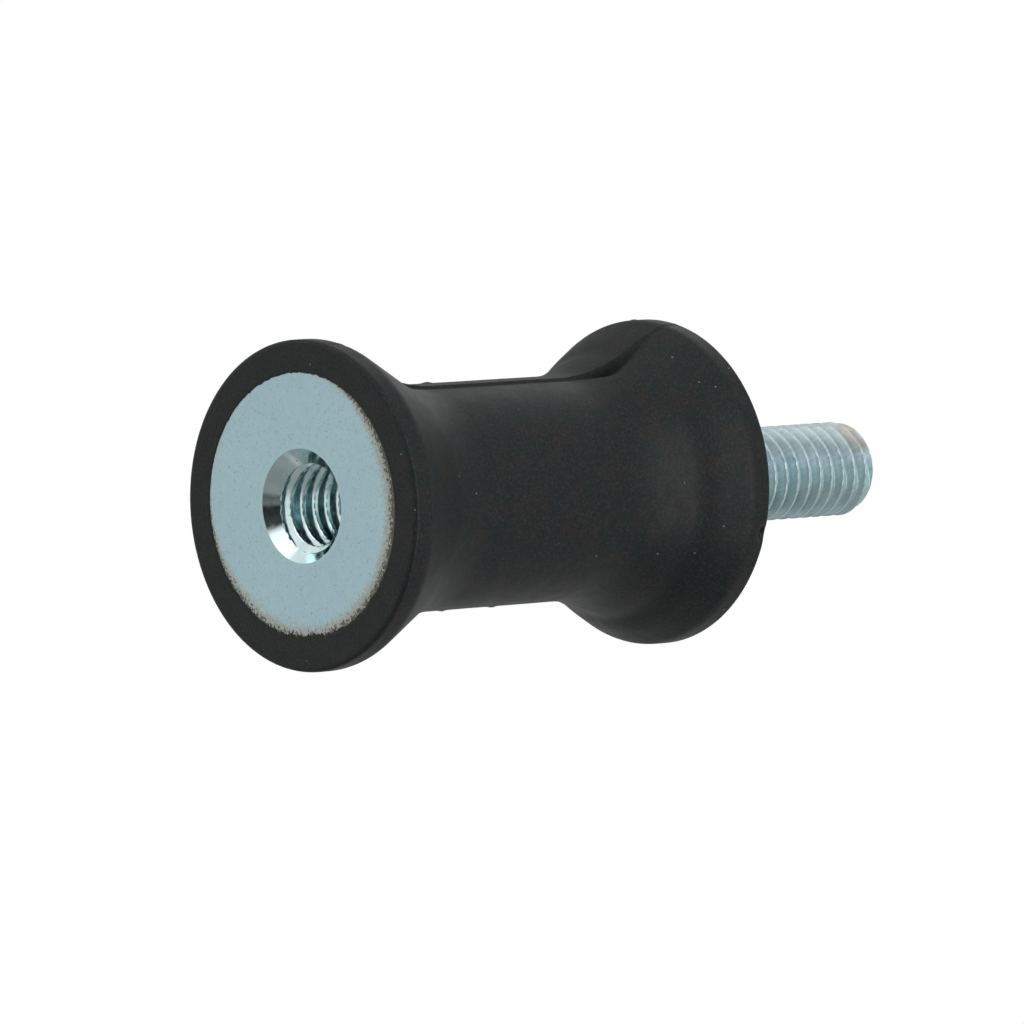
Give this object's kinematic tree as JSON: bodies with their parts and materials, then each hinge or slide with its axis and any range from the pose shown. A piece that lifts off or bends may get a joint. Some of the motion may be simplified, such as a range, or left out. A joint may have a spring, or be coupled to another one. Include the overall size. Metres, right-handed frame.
{
  "type": "bobbin vibration mount",
  "caption": "Waisted rubber bobbin bonded to flush steel end plates, with a threaded socket at one end and a threaded stud at the other.",
  "frame": {"origin": "centre of the socket's face, which is also the face that the mount stands on", "axes": "+Z along the mount's axis, from the socket's face to the stud's tip; the mould's parting line lies in the XZ plane"},
  "size_m": [0.0202, 0.02, 0.0471],
  "materials": {
    "rubber": "satin moulded black rubber with fine pale dust",
    "plate_zinc": "blue passivated zinc, satin",
    "bush_zinc": "bright blue passivated zinc",
    "stud_zinc": "blue passivated zinc on a rolled thread"
  },
  "bodies": {
    "root": {"rubber_body": "rubber", "socket_plate": "plate_zinc", "threaded_bush": "bush_zinc", "stud_plate": "plate_zinc", "stud": "stud_zinc"}
  },
  "joints": []
}
